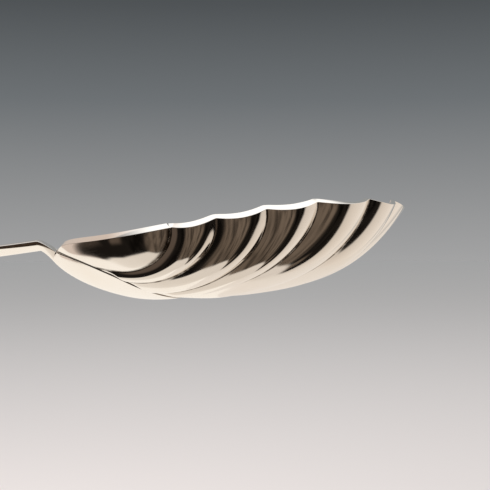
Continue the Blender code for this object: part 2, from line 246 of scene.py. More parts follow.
# Studio by azimuth: dark room in front, pale sides
BLACK = (0.010, 0.008, 0.0065)
BROWN = (0.122, 0.091, 0.067)
DARK_BROWN = (0.090, 0.066, 0.050)
DARKEST_BROWN = (0.045, 0.033, 0.026)
ROOM = (
    (-180.0, (0.30, 0.31, 0.32)),
    (-150.0, (0.62, 0.53, 0.47)),
    (-112.0, (0.66, 0.55, 0.48)),
    (-109.0, DARKEST_BROWN),
    (-99.0, DARKEST_BROWN),
    (-95.0, BLACK),
    (-84.0, BLACK),
    (-79.0, DARK_BROWN),
    (-68.0, DARK_BROWN),
    (-64.0, BLACK),
    (-41.0, BLACK),
    (-36.0, BROWN),
    (29.0, BROWN),
    (36.0, BLACK),
    (60.0, BLACK),
    (66.0, (0.62, 0.55, 0.48)),
    (80.0, (0.70, 0.62, 0.54)),
    (130.0, (0.84, 0.76, 0.68)),
    (150.0, (0.30, 0.31, 0.31)),
)
# The dark room's edges lean out below: elevations over which they do, how far, and from which azimuths
LEAN_SPAN = (-20.0, -80.0)
LEAN_TURN = 50.0
LEAN_POWER = 2.0
LEAN_REACH = (35.0, 60.0)
LEFT_LEAN_SPAN = (-7.0, -26.0)
LEFT_LEAN_TURN = 11.0
LEFT_LEAN_REACH = (-95.0, -106.0)
# The left part of the dark room is black lower down: elevations over which it darkens, and its azimuths
LOW_ROOM_SPAN = (-13.0, -24.0)
LOW_ROOM_REACH = (-110.0, -40.0)
# Streaks in the front of the dark room: width and height, noise, how they darken and lighten it, and reach
STREAK_SIZE = (9.0, 40.0)
STREAK_DETAIL = 4.0
STREAK_SPAN = (0.36, 0.62)
STREAK_RANGE = (0.35, 1.25)
STREAK_REACH = 62.0
# Colour of the paper below by azimuth, and the elevation at which its edge shows
PAPER = (
    (-180.0, (0.98, 0.92, 0.84)),
    (-128.0, (0.98, 0.92, 0.84)),
    (-112.0, (0.82, 0.75, 0.67)),
    (-60.0, (0.73, 0.66, 0.58)),
    (60.0, (0.70, 0.63, 0.56)),
    (110.0, (0.75, 0.68, 0.60)),
    (180.0, (0.85, 0.78, 0.71)),
)
PAPER_EDGE = (
    (-180.0, -2.0),
    (-127.0, -2.0),
    (-122.0, -36.0),
    (-107.0, -37.0),
    (-83.0, -43.0),
    (-40.0, -43.0),
    (-20.0, -56.0),
    (0.0, -62.0),
    (20.0, -66.0),
    (40.0, -70.0),
    (60.0, -75.0),
    (85.0, -78.0),
    (110.0, -77.0),
    (130.0, -68.0),
    (145.0, -12.0),
    (180.0, -6.0),
)
PAPER_BLUR = 2.0
# Light above, and the elevations over which it comes in
TOP_LIGHT = (1.2, 1.2, 1.2)
TOP_LIGHT_RISE = (36.0, 64.0)
# Backdrop by share of a span of elevation, as the camera sees it, and where it shows in the metal
BACKDROP_SPAN = (-12.0, 14.0)
BACKDROP = (
    (0.0, (0.76, 0.73, 0.70)),
    (0.4615, (0.355, 0.355, 0.357)),
    (0.75, (0.153, 0.166, 0.175)),
    (0.927, (0.080, 0.088, 0.094)),
    (1.0, (0.062, 0.068, 0.073)),
)
BACKDROP_TURN = (140.0, 165.0)
BACKDROP_FOOT = (-8.0, -3.0)
BACKDROP_TOP = (3.0, 11.0)


def smooth_step(value):
    """0 below 0, 1 above 1 and an easy curve between."""
    share = np.clip(value, 0.0, 1.0)
    return share * share * (3.0 - 2.0 * share)


def hump(share):
    """0 at both ends of a share and 1 in its middle."""
    return 4.0 * share * (1.0 - share)


def both_sides(values):
    """Values of the panels from the tip's to the heel's, laid out from one heel panel to the other."""
    return np.array(values[:0:-1] + values)


def outline_share(x):
    """Signed distance from the widest place, -1 at the heel and +1 at the tip."""
    widest = WIDEST_SHARE * BOWL_LENGTH
    return np.where(x < widest, (x - widest) / widest, (x - widest) / (BOWL_LENGTH - widest))


def outline_power(share, turn):
    """Power of the oval at a place round it: rounder at sides and tip, more pointed towards the heel."""
    heel = HEEL_OUTLINE_POWER + (TIP_OUTLINE_POWER - HEEL_OUTLINE_POWER) * turn ** HEEL_OUTLINE_TURN
    return np.where(share < 0, heel, TIP_OUTLINE_POWER)


def outline_point(angle):
    """Plan point on the +Y side of the crease outline at an angle round it: 0 at the tip, pi at the heel."""
    cosine = np.cos(angle)
    sine = np.abs(np.sin(angle))
    power = outline_power(cosine, sine * sine)
    reach = (np.abs(cosine) ** power + sine ** power) ** (-1.0 / power)
    widest = WIDEST_SHARE * BOWL_LENGTH
    length = np.where(cosine < 0, widest, BOWL_LENGTH - widest)
    return widest + length * reach * cosine, BOWL_HALF_WIDTH * reach * sine


def outline_angle(x):
    """Angle round the outline at a place along the bowl."""
    angles = np.linspace(math.pi, 0.0, OUTLINE_STEPS + 1)
    return np.interp(x, outline_point(angles)[0], angles)


def bowl_height(x, y):
    """Height of the bowl's outer skin along the creases, before the flutes swell out of it."""
    share = outline_share(x)
    side = np.abs(y) / BOWL_HALF_WIDTH
    turn = side * side / np.maximum(share * share + side * side, TINY)
    power = outline_power(share, turn)
    reach = (np.abs(share) ** power + side ** power) ** (1.0 / power)
    first = np.where(share < 0, HEEL_POWERS[0], TIP_POWERS[0]) * (1.0 - turn) + SIDE_POWERS[0] * turn
    second = np.where(share < 0, HEEL_POWERS[1], TIP_POWERS[1]) * (1.0 - turn) + SIDE_POWERS[1] * turn
    dish = np.clip(1.0 - np.clip(reach, 0.0, 1.0) ** first, 0.0, None) ** second
    rim = RIM_ARCH * side * side * (1.0 + RIM_SKEW * share)
    rim = rim - TIP_DIP * np.clip(share, 0.0, None) ** TIP_DIP_POWER
    return rim - BOWL_DEPTH * dish


def outward_normals(points, share):
    """Unit normals of a grid of points with its rows' shares, facing down and away from the bowl's inside."""
    step = np.maximum(np.diff(share, axis=0), TINY)[:, :, None]
    slope = np.diff(points, axis=0) / step
    between = (slope[:-1] * step[1:] + slope[1:] * step[:-1]) / (step[:-1] + step[1:])
    along = np.concatenate([slope[:1], between, slope[-1:]])
    across = np.gradient(points, axis=1)
    normal = np.cross(along, across)
    length = np.linalg.norm(normal, axis=2, keepdims=True)
    normal = normal / np.maximum(length, TINY)
    # The grid closes up at the heel's corners, so its first row takes the normals of the second
    normal[0] = normal[1]
    centre = np.array([BOWL_LENGTH * WIDEST_SHARE, 0.0, 0.0])
    facing = np.sum(normal * (points - centre))
    return normal if facing > 0 else -normal


def column_places():
    """Places of the grid's columns in panels from one heel corner, closer together at the creases."""
    lobe = 0.5 - 0.5 * np.cos(np.linspace(0.0, math.pi, FLUTE_COLUMNS + 1)[:-1])
    graded = np.linspace(0.0, 1.0, HEEL_COLUMNS + 1) ** HEEL_COLUMN_GRADING
    places = [1.0 - graded[:0:-1]]
    places += [panel + lobe for panel in range(1, PANELS - 1)]
    places += [PANELS - 1 + graded]
    return np.concatenate(places)


def rim_plan(column):
    """Plan points on the crease outline at columns counted in panels from the tip, - on the -Y side."""
    creases = outline_angle(np.array(CREASE_SHARES) * BOWL_LENGTH)
    angles = [0.0, *creases, float(outline_angle(HEEL_CORNER))]
    x, y = outline_point(np.interp(np.abs(column), MARKS, angles))
    return x, y * np.sign(column)


def heel_plan(column):
    """Plan points on the heel's edge where the columns start."""
    y = np.interp(np.abs(column), [0.0, HEEL_COLUMN - 1.0, HEEL_COLUMN], [0.0, FAN_HALF, HEEL_EDGE_HALF])
    x = HEEL_EDGE + HEEL_BOW * (y / HEEL_EDGE_HALF) ** 2
    return x, y * np.sign(column)


def column_plan(column, share):
    """Plan points along the columns at shares of the way from heel to rim, bent as the creases are."""
    start_x, start_y = heel_plan(column)
    rim_x, rim_y = rim_plan(column)
    curve = np.interp(np.abs(column), MARKS, [CREASE_CURVES[0], *CREASE_CURVES, 1.0])
    lead = CREASE_LEAD ** curve
    bent = ((share + CREASE_LEAD) ** curve - lead) / ((1.0 + CREASE_LEAD) ** curve - lead)
    return start_x + (rim_x - start_x) * share, start_y + (rim_y - start_y) * bent


def beyond_drop(x, y):
    """How far a plan point lies outside the drop's outline, measured from the drop's middle."""
    ahead = x - DROP_CENTRE
    behind = ahead < 0
    power = np.where(behind, DROP_BACK_POWER, DROP_FRONT_POWER)
    along = np.abs(ahead) / np.where(behind, DROP_BACK, DROP_FRONT)
    reach = (along ** power + (np.abs(y) / DROP_RADIUS) ** power) ** (1.0 / power)
    return np.hypot(ahead, y) * (1.0 - 1.0 / np.maximum(reach, TINY))


def row_shares(column):
    """Shares of the way from heel to rim for each row and column, with one row along the drop's edge."""
    search = np.linspace(0.0, 1.0, SEAM_SEARCH + 1)[:, None]
    outside = beyond_drop(*column_plan(column, search)) > SOLDER_FILLET
    seam = search[np.argmax(outside, axis=0), 0]
    around = np.pad(seam, SEAM_EASE, mode="edge")
    seam = np.convolve(around, np.full(2 * SEAM_EASE + 1, 1.0 / (2 * SEAM_EASE + 1)), mode="valid")
    hidden = np.linspace(0.0, 1.0, HIDDEN_ROWS + 1)[:-1, None]
    row = np.linspace(0.0, 1.0, BOWL_ROWS + 1)[:, None]
    graded = 1.0 - (1.0 - row ** SEAM_GRADING) ** RIM_GRADING
    return np.concatenate([seam * hidden, seam + (1.0 - seam) * graded])


def panel_widths():
    """Width of each panel along the rim, held to the widest, with the heel panels' own width."""
    x, y = rim_plan(np.arange(PANELS + 1) - HEEL_COLUMN)
    width = np.minimum(np.hypot(np.diff(x), np.diff(y)), FLUTE_WIDEST)
    width[[0, -1]] = HEEL_PANEL_WIDTH
    return width


def eased(share, span):
    """A share of a span measured from a crease, rounded off within the crease's own radius."""
    distance = share * span
    return (np.sqrt(distance ** 2 + CREASE_ROUND ** 2) - CREASE_ROUND) / span


def flute_arch(place, panel, width):
    """Swell in each column, 0 in a crease and 1 on a crest, and its share of the width from the crease."""
    across = place - panel
    from_crease = np.minimum(across, 1.0 - across)
    arch = hump(eased(from_crease, width))
    for heel, share in ((0, 1.0 - across), (PANELS - 1, across)):
        skewed = eased(share, HEEL_PANEL_SPAN) ** HEEL_PANEL_SKEW
        arch = np.where(panel == heel, hump(skewed), arch)
        from_crease = np.where(panel == heel, share, from_crease)
    return arch, from_crease


def rim_sag(panel, arch, from_crease):
    """How far the rim sags in each column; in the heel panels it is lifted."""
    lift = HEEL_LIFT * from_crease ** 2 * np.sqrt(1.0 - from_crease)
    at_heel = (panel == 0) | (panel == PANELS - 1)
    return both_sides(RIM_SAGS)[panel] * arch - np.where(at_heel, lift, 0.0)


def bowl_skins():
    """Outer and inner skins of the bowl, rows from heel edge to rim, with crease and seam distances."""
    place = column_places()
    column = place - HEEL_COLUMN
    panel = np.clip(np.floor(place), 0, PANELS - 1).astype(int)
    width = panel_widths()[panel]
    arch, from_crease = flute_arch(place, panel, width)

    share = row_shares(column)
    x, y = column_plan(column, share)
    skin = np.stack([x, y, bowl_height(x, y)], axis=2)
    lowered = rim_sag(panel, arch, from_crease) / (skin[-1, :, 2] + BOWL_DEPTH)
    skin[:, :, 2] = -BOWL_DEPTH + (skin[:, :, 2] + BOWL_DEPTH) * (1.0 - lowered * share ** 2)

    from_drop = beyond_drop(x, y) - SOLDER_FILLET
    from_seam = (share - share[HIDDEN_ROWS]) / (1.0 - share[HIDDEN_ROWS])
    swell = both_sides(FLUTE_RISES)[panel] * width * arch * share
    outer_rise = smooth_step(from_drop / both_sides(FLUTE_FADES)[panel])
    inner_rise = np.minimum(outer_rise, smooth_step(from_seam / INNER_FADE))
    normal = outward_normals(skin, share)
    outer = skin + normal * (swell * outer_rise)[:, :, None]
    inner = skin + normal * (swell * inner_rise)[:, :, None]
    inner = inner - outward_normals(inner, share) * BOWL_SHEET
    low, high = DRESSING_FADE
    dressing = (RIM_DRESSING + CREST_DRESSING * arch) * smooth_step((np.abs(column) - low) / (high - low))
    inner[:, :, 2] += dressing * share ** DRESSING_POWER

    crease = from_crease * width * share + np.where(from_drop > 0, 0.0, FLUTE_WIDEST)
    seam = np.abs(from_drop + SOLDER_FILLET)
    return outer, inner, crease, seam


def edge_loop(rows, columns):
    """Row and column of each point round the edge of a grid, in order."""
    loop = [(0, j) for j in range(columns)]
    loop += [(i, columns - 1) for i in range(1, rows)]
    loop += [(rows - 1, j) for j in range(columns - 2, -1, -1)]
    loop += [(i, 0) for i in range(rows - 2, 0, -1)]
    return np.array(loop)


def moved(start, end):
    """Points moved from start towards end by the rim's radius, where there is room for it."""
    run = end - start
    length = np.linalg.norm(run, axis=1, keepdims=True)
    reach = np.minimum(RIM_ROUND, ROUND_LIMIT * length)
    return start + run / np.maximum(length, TINY) * reach


def bend(start, corner, end):
    """Rows of points on a round from start to end about a corner, with both ends."""
    rows = []
    for share in np.linspace(0.0, 1.0, ROUND_STEPS + 1):
        rows.append((1 - share) ** 2 * start + 2 * share * (1 - share) * corner + share ** 2 * end)
    return rows


def band_faces(low, high):
    """Faces between two closed loops of points."""
    count = len(low)
    return [(low[k], low[(k + 1) % count], high[(k + 1) % count], high[k]) for k in range(count)]


def shell_mesh(outer, inner):
    """Points and faces of a closed sheet between two skins, with its edge rounded on both sides."""
    rows, columns = outer.shape[:2]
    loop = edge_loop(rows, columns)
    edge = tuple(loop.T)
    inside = tuple(np.clip(loop, 1, (rows - 2, columns - 2)).T)
    outer_corner = outer[edge]
    inner_corner = inner[edge]
    outer_skin = moved(outer_corner, outer[inside])
    inner_skin = moved(inner_corner, inner[inside])
    outer_side = moved(outer_corner, inner_corner)
    inner_side = moved(inner_corner, outer_corner)
    strips = bend(outer_skin, outer_corner, outer_side)[1:]
    strips += [0.5 * (outer_side + inner_side)]
    strips += bend(inner_side, inner_corner, inner_skin)[:-1]
    outer = outer.copy()
    inner = inner.copy()
    outer[edge] = outer_skin
    inner[edge] = inner_skin
    points = np.concatenate([outer.reshape(-1, 3), inner.reshape(-1, 3), *strips])

    count = rows * columns
    faces = []
    for i in range(rows - 1):
        for j in range(columns - 1):
            a = i * columns + j
            b = a + columns
            faces.append((a, b, b + 1, a + 1))
            faces.append((count + a, count + a + 1, count + b + 1, count + b))
    around = loop[:, 0] * columns + loop[:, 1]
    between = 2 * count + np.arange(len(strips) * len(loop)).reshape(len(strips), len(loop))
    bands = [around.tolist(), *between.tolist(), (count + around).tolist()]
    for low, high in zip(bands[:-1], bands[1:]):
        faces += band_faces(low, high)
    return points, faces


def lap_surface(x, y, offset):
    """Points a set distance outside the bowl's unfluted skin, for the pieces that lap under the heel."""
    slope_x = (bowl_height(x + SLOPE_STEP, y) - bowl_height(x - SLOPE_STEP, y)) / (2.0 * SLOPE_STEP)
    slope_y = (bowl_height(x, y + SLOPE_STEP) - bowl_height(x, y - SLOPE_STEP)) / (2.0 * SLOPE_STEP)
    length = np.sqrt(slope_x ** 2 + slope_y ** 2 + 1.0)
    return np.stack([x + offset * slope_x / length,
                     y + offset * slope_y / length,
                     bowl_height(x, y) - offset / length], axis=-1)


def drop_half_width(x, grown=0.0):
    """Half width of the drop in plan: round in front, drawn in more pointed towards the neck."""
    behind = x < DROP_CENTRE
    power = DROP_BACK_POWER if behind else DROP_FRONT_POWER
    share = abs(x - DROP_CENTRE) / ((DROP_BACK if behind else DROP_FRONT) + grown)
    return (DROP_RADIUS + grown) * max(1.0 - share ** power, 0.0) ** (1.0 / power)


def drop_thickness(x, y):
    """Thickness of the drop, thinned to a fine edge all round its lap."""
    ahead = max(x - DROP_CENTRE, 0.0)
    across = y / (DROP_RADIUS if ahead > 0.0 else drop_half_width(x))
    away = np.hypot(ahead / DROP_FRONT, across)
    return DROP_EDGE + (DROP_THICK - DROP_EDGE) * (1.0 - np.clip(away, 0.0, 1.0) ** 2)


def drop_places(start, grown=0.0):
    """Places along the drop from its round end back to a start, closer together towards both."""
    last = math.acos((start - DROP_CENTRE) / (DROP_BACK + grown))
    angles = np.linspace(FIRST_ANGLE, last, DROP_RINGS)
    reach = np.where(angles < 0.5 * math.pi, DROP_FRONT, DROP_BACK) + grown
    return DROP_CENTRE + reach * np.cos(angles)


def station(back):
    """Top height, half width, edge and crown of the handle at a distance behind the heel, smoothed."""
    table = np.array(STATIONS)
    at = table[:, 0]
    known = table[:, 1:]
    slope = np.gradient(known, at, axis=0)
    slope[0] = 0.0
    i = int(np.clip(np.searchsorted(at, back) - 1, 0, len(at) - 2))
    run = at[i + 1] - at[i]
    share = (back - at[i]) / run
    ease = smooth_step(share)
    leaving = share * (1.0 - share) ** 2 * run * slope[i]
    arriving = share ** 2 * (1.0 - share) * run * slope[i + 1]
    return known[i] * (1.0 - ease) + known[i + 1] * ease + leaving - arriving


def ring_shares():
    """Places across a ring from one edge to the other, closer together at the edges."""
    return -np.cos(np.linspace(0.0, math.pi, RING_STEPS + 1))


def lap_row(x, grown=0.0):
    """Plan points across the drop at a place along it."""
    y = drop_half_width(x, grown) * ring_shares()
    return np.full_like(y, x), y


def drop_ring(x):
    """Top and bottom rows of the drop's cross-section at a place along it."""
    along, y = lap_row(x)
    top = lap_surface(along, y, LAP_GAP)
    bottom = lap_surface(along, y, LAP_GAP + drop_thickness(x, y))
    return top, bottom


def solder_ring(x):
    """Top and bottom rows of the solder's cross-section at a place along the drop."""
    along, y = lap_row(x, SOLDER_FILLET)
    return lap_surface(along, y, 0.0), lap_surface(along, y, LAP_GAP)


def stem_ring(back):
    """Top and bottom rows of the stem's cross-section at a distance behind the heel."""
    height, half, edge, crown = station(back)
    left = max(STATIONS[-1][0] - back, 0.0)
    if left < END_ROUND:
        half = half * math.sqrt(max(1.0 - (1.0 - left / END_ROUND) ** 2, 0.0))
    share = ring_shares()
    y = half * share
    x = np.full_like(y, -back)
    top = np.stack([x, y, height - STEM_CROWN * share ** 2], axis=-1)
    bottom = np.stack([x, y, height - STEM_CROWN - edge - crown * (1.0 - share ** 2)], axis=-1)
    return top, bottom


def neck_rings(seat_top, seat_bottom):
    """Rings that carry the flat stem down into the round underside of the drop."""
    stem_top, stem_bottom = stem_ring(STATIONS[0][0])
    rings = []
    for share in np.linspace(0.0, 1.0, NECK_RINGS)[1:]:
        sweep = 1.0 - (1.0 - share) ** NECK_SWEEP
        rows = []
        for seat, stem in ((seat_top, stem_top), (seat_bottom, stem_bottom)):
            row = seat * (1.0 - sweep) + stem * sweep
            row[:, 0] = seat[:, 0] * (1.0 - share) + stem[:, 0] * share
            rows.append(row)
        rings.append(tuple(rows))
    return rings


def handle_rings():
    """All rings of the handle from the drop's round end to the handle's end."""
    rings = [drop_ring(x) for x in drop_places(SEAT_START)]
    rings += neck_rings(*rings[-1])
    neck = STATIONS[0][0]
    end = STATIONS[-1][0]
    stem = neck + (end - END_ROUND - neck) * np.linspace(0.0, 1.0, STEM_RINGS)[1:]
    turn = np.linspace(0.0, END_LAST_ANGLE, END_RINGS)[1:]
    rings += [stem_ring(back) for back in stem]
    rings += [stem_ring(back) for back in end - END_ROUND * (1.0 - np.sin(turn))]
    return rings


def nose_profile():
    """Rise of a rounded nose from edge to edge, 0 at both and 1 in the middle."""
    return 1.0 - np.abs(np.linspace(-1.0, 1.0, NOSE_STEPS + 1)) ** NOSE_POWER


def nose(start, end, inside, radius):
    """Points round the side of a ring from start to end, bulging away from a point inside it."""
    outward = (0.5 * (start + end) - inside) * (1.0, 1.0, 0.0)
    outward = outward / max(float(np.linalg.norm(outward)), TINY)
    bulge = min(radius, 0.5 * float(np.linalg.norm(end - start)))
    places = np.linspace(-1.0, 1.0, NOSE_STEPS + 1)[:, None]
    flat = 0.5 * (1.0 - places) * start + 0.5 * (1.0 + places) * end
    return flat + outward * bulge * nose_profile()[:, None]


def rounded_ring(top, bottom, radius):
    """One closed ring through a top and a bottom row, with a rounded nose along each side."""
    middle = 0.5 * (top + bottom)
    quarter = len(top) // 4
    right = nose(top[-1], bottom[-1], middle[-1 - quarter], radius)
    left = nose(bottom[0], top[0], middle[quarter], radius)
    return np.concatenate([top[:-1], right, bottom[-2:0:-1], left[:-1]])


def ring_mesh(rings, radius):
    """Points and faces of a solid lofted through rings, closed at both ends."""
    loops = [rounded_ring(top, bottom, radius) for top, bottom in rings]
    bands = np.arange(len(loops) * RING_SIZE).reshape(len(loops), RING_SIZE).tolist()
    faces = []
    for low, high in zip(bands[:-1], bands[1:]):
        faces += band_faces(low, high)
    faces.append(tuple(reversed(bands[0])))
    faces.append(tuple(bands[-1]))
    return np.concatenate(loops), faces


def at_rest(points):
    """Bowl-frame points set down in the rest pose, worn flat where they would reach under the table."""
    cosine = math.cos(REST_TILT)
    sine = math.sin(REST_TILT)
    x = points[:, 0] * cosine - points[:, 2] * sine + REST_X
    z = points[:, 0] * sine + points[:, 2] * cosine + REST_Z
    return np.stack([x, points[:, 1], np.maximum(z, 0.0)], axis=1)


def signed_volume(data):
    """Volume inside a closed mesh, negative where its faces look inwards."""
    data.calc_loop_triangles()
    place = np.array([vertex.co[:] for vertex in data.vertices])
    corners = place[np.array([triangle.vertices[:] for triangle in data.loop_triangles])]
    return float(np.sum(corners[:, 0] * np.cross(corners[:, 1], corners[:, 2])) / 6.0)


def add_piece(name, points, faces):
    """A smooth mesh piece from points and faces, facing outwards."""
    data = bpy.data.meshes.new(name)
    data.from_pydata(at_rest(points).tolist(), [], faces)
    data.validate()
    if signed_volume(data) < 0.0:
        data.flip_normals()
    data.shade_smooth()
    data.update()
    piece = bpy.data.objects.new(name, data)
    bpy.context.scene.collection.objects.link(piece)
    return piece


def keep_values(piece, name, values):
    """Keeps a value for each point of a piece under a name, for its material."""
    layer = piece.data.attributes.new(name, "FLOAT", "POINT")
    layer.data.foreach_set("value", values.astype(np.float32))


def build_bowl():
    """The fluted bowl, with its crease and seam distances kept in millimetres for the tarnish and painted
    shade.
    """
    outer, inner, crease, seam = bowl_skins()
    points, faces = shell_mesh(outer, inner)
    piece = add_piece("bowl_shell", points, faces)
    for name, grid in (("crease", crease), ("seam", seam)):
        clean = np.full(len(points) - grid.size, FLUTE_WIDEST)
        keep_values(piece, name, np.concatenate([grid.reshape(-1), clean]) / MM)
    return piece


def build_handle():
    """The handle, with a sharp line where drop and neck meet, and its stem's sides kept for the painted
    shade.
    """
    rings = handle_rings()
    piece = add_piece("handle_bar", *ring_mesh(rings, HANDLE_ROUND))
    for edge in piece.data.edges:
        edge.use_edge_sharp = all(vertex // RING_SIZE == DROP_RINGS - 1 for vertex in edge.vertices)
    across = np.zeros(RING_SIZE)
    across[RING_STEPS:RING_STEPS + NOSE_STEPS + 1] = nose_profile()
    across[2 * RING_STEPS + NOSE_STEPS:] = nose_profile()[:-1]
    along = smooth_step((np.arange(len(rings)) - DROP_RINGS) / NECK_RINGS)
    keep_values(piece, "side", np.outer(along, across).reshape(-1))
    return piece


def build_solder():
    """The film of solder in the lap, which shows as a fine fillet along the drop's edge."""
    rings = [solder_ring(x) for x in drop_places(SOLDER_START, SOLDER_FILLET)]
    return add_piece("solder_film", *ring_mesh(rings, SOLDER_ROUND))


class Tree:
    """Short ways to add nodes to a node tree and join them."""

    # Sockets of a mix node for colours: share, first colour, second colour, and the result among its outputs
    MIX_INPUTS = (0, 6, 7)
    MIX_RESULT = 2
    # Place of a new stop in a colour ramp, before it is set
    NEW_STOP = 0.5

    def __init__(self, tree):
        self.tree = tree

    def add(self, kind, settings=None, **inputs):
        """A node of a kind, with settings by attribute and inputs by name; an input may be another socket."""
        node = self.tree.nodes.new(kind)
        for name, value in (settings or {}).items():
            setattr(node, name, value)
        for name, value in inputs.items():
            self.put(node.inputs[name.replace("_", " ")], value)
        return node

    def put(self, socket, value):
        """Links a socket to another one, or sets its value."""
        if isinstance(value, bpy.types.NodeSocket):
            self.tree.links.new(value, socket)
        else:
            socket.default_value = value

    def math(self, operation, *values):
        """Result of a maths node."""
        node = self.tree.nodes.new("ShaderNodeMath")
        node.operation = operation
        for socket, value in zip(node.inputs, values):
            self.put(socket, value)
        return node.outputs[0]

    def product(self, value, *others):
        """A value multiplied by all the others."""
        for other in others:
            value = self.math("MULTIPLY", value, other)
        return value

    def spread(self, value, low, high, first=0.0, second=1.0, smooth=True):
        """A value mapped from one range to another and held at its ends."""
        node = self.tree.nodes.new("ShaderNodeMapRange")
        node.interpolation_type = "SMOOTHSTEP" if smooth else "LINEAR"
        for socket, number in zip(node.inputs, (value, low, high, first, second)):
            self.put(socket, number)
        return node.outputs[0]

    def mix(self, share, first, second, blend="MIX"):
        """Two colours mixed by a share."""
        node = self.tree.nodes.new("ShaderNodeMix")
        node.data_type = "RGBA"
        node.blend_type = blend
        for index, value in zip(self.MIX_INPUTS, (share, first, second)):
            self.put(node.inputs[index], value)
        return node.outputs[self.MIX_RESULT]

    def ramp(self, value, stops):
        """A colour ramp through (place, colour) stops."""
        node = self.tree.nodes.new("ShaderNodeValToRGB")
        line = node.color_ramp
        while len(line.elements) < len(stops):
            line.elements.new(self.NEW_STOP)
        for element, (place, colour) in zip(line.elements, stops):
            element.position = place
            element.color = (*colour, 1.0)
        self.put(node.inputs[0], value)
        return node.outputs[0]


def metal(name, colour, roughness, bump):
    """A metal material; colour, roughness and bump are functions that add their nodes to its tree."""
    material = bpy.data.materials.new(name)
    material.use_nodes = True
    tree = Tree(material.node_tree)
    shader = material.node_tree.nodes["Principled BSDF"]
    shader.inputs["Metallic"].default_value = 1.0
    place = tree.add("ShaderNodeTexCoord").outputs["Object"]
    tree.put(shader.inputs["Base Color"], colour(tree, place))
    tree.put(shader.inputs["Roughness"], roughness(tree, place))
    height = bump(tree, place)
    rise = tree.add("ShaderNodeBump", Strength=BUMP_STRENGTH, Distance=BUMP_HEIGHT, Height=height)
    tree.put(shader.inputs["Normal"], rise.outputs[0])
    return material


def kept_value(tree, name):
    """The value kept on the mesh under a name."""
    return tree.add("ShaderNodeAttribute", {"attribute_name": name}).outputs["Fac"]


def noise(tree, place, size, detail=NOISE_DETAIL, stretch=(1.0, 1.0, 1.0)):
    """Soft noise with blotches of a size in metres, stretched along the axes."""
    scale = tuple(1.0 / (size * part) for part in stretch)
    grown = tree.add("ShaderNodeVectorMath", {"operation": "MULTIPLY"})
    tree.put(grown.inputs[0], place)
    tree.put(grown.inputs[1], scale)
    return tree.add("ShaderNodeTexNoise", Vector=grown.outputs[0], Scale=1.0, Detail=detail).outputs[0]


def polished(tree, place):
    """Polished silver that is a little warmer in cloudy patches and spotted by faint tarnish."""
    cloud = tree.spread(noise(tree, place, CLOUD_SIZE), *CLOUD_SPAN, 0.0, CLOUD_SHARE)
    colour = tree.mix(cloud, (*SILVER, 1.0), (*WARM_SILVER, 1.0))
    spots = tree.spread(noise(tree, place, SPOT_SIZE, SPOT_DETAIL), *SPOT_SPAN, 0.0, SPOT_SHARE)
    return tree.mix(spots, colour, (*WARM_SILVER, 1.0), "MULTIPLY")


def polish_lines(tree, place):
    """Fine lines left along the spoon by polishing."""
    return noise(tree, place, SCRATCH_SIZE, SCRATCH_DETAIL, SCRATCH_STRETCH)


def scratches(tree, place):
    """Bump of the polishing lines and of the gentle waves of hand-finished metal."""
    lines = tree.product(polish_lines(tree, place), SCRATCH_SHARE)
    return tree.math("ADD", lines, noise(tree, place, WAVE_SIZE, WAVE_DETAIL))


def worn_roughness(tree, place):
    """Roughness that changes with rubbed patches and fine lines."""
    rubbed = tree.spread(noise(tree, place, RUB_SIZE), *RUB_SPAN, *POLISH)
    return tree.math("ADD", rubbed, tree.product(polish_lines(tree, place), LINE_ROUGHNESS))


def bowl_metal():
    """Silver of the bowl, darker in the creases and beside the seam: tarnish left by polishing, and painted
    shade.
    """
    # Mask of tarnish and painted shade: patchy, strongest in the creases and beside the seam
    def tarnish_and_shade(tree, place):
        broken = tree.spread(noise(tree, place, BLOTCH_SIZE), *TARNISH_AND_SHADE_SPAN)
        patchy = tree.spread(broken, 0.0, 1.0, *TARNISH_AND_SHADE_SHARE)
        crease = tree.spread(kept_value(tree, "crease"), *CREASE_TARNISH_AND_SHADE, 1.0, 0.0)
        seam = tree.spread(kept_value(tree, "seam"), *SEAM_TARNISH_AND_SHADE, 1.0, 0.0)
        return tree.product(tree.math("MAXIMUM", crease, seam), patchy)

    def colour(tree, place):
        return tree.mix(tarnish_and_shade(tree, place), polished(tree, place), (*TARNISH_AND_SHADE, 1.0))

    def roughness(tree, place):
        dull = tree.product(tarnish_and_shade(tree, place), TARNISH_ROUGHNESS)
        return tree.math("ADD", worn_roughness(tree, place), dull)

    return metal("bowl_silver", colour, roughness, scratches)


def handle_metal():
    """Silver of the handle, with painted shade along the sides of the stem."""
    def colour(tree, place):
        # Painted shade on the stem's sides, in patches
        patchy = tree.spread(noise(tree, place, BLOTCH_SIZE), *SIDE_SPAN, *SIDE_SHARE)
        side = tree.product(kept_value(tree, "side"), patchy)
        return tree.mix(side, polished(tree, place), (*SIDE_SHADE, 1.0))

    return metal("handle_silver", colour, worn_roughness, scratches)


def solder_metal():
    """Dull solder, darkened and grainy."""
    def colour(tree, place):
        return tree.mix(noise(tree, place, BLOTCH_SIZE), (*SOLDER, 1.0), (*SOLDER_DARK, 1.0))

    def roughness(tree, place):
        return tree.spread(noise(tree, place, GRAIN_SIZE), *GRAIN_SPAN, *SOLDER_POLISH)

    def grain(tree, place):
        return noise(tree, place, GRAIN_SIZE, GRAIN_DETAIL)

    return metal("silver_solder", colour, roughness, grain)


def turn_ramp(tree, azimuth, stops):
    """A colour ramp through (azimuth, colour) stops round a full turn."""
    turn = tree.spread(azimuth, -HALF_TURN, HALF_TURN, smooth=False)
    return tree.ramp(turn, [((at + HALF_TURN) / (2.0 * HALF_TURN), colour) for at, colour in stops])


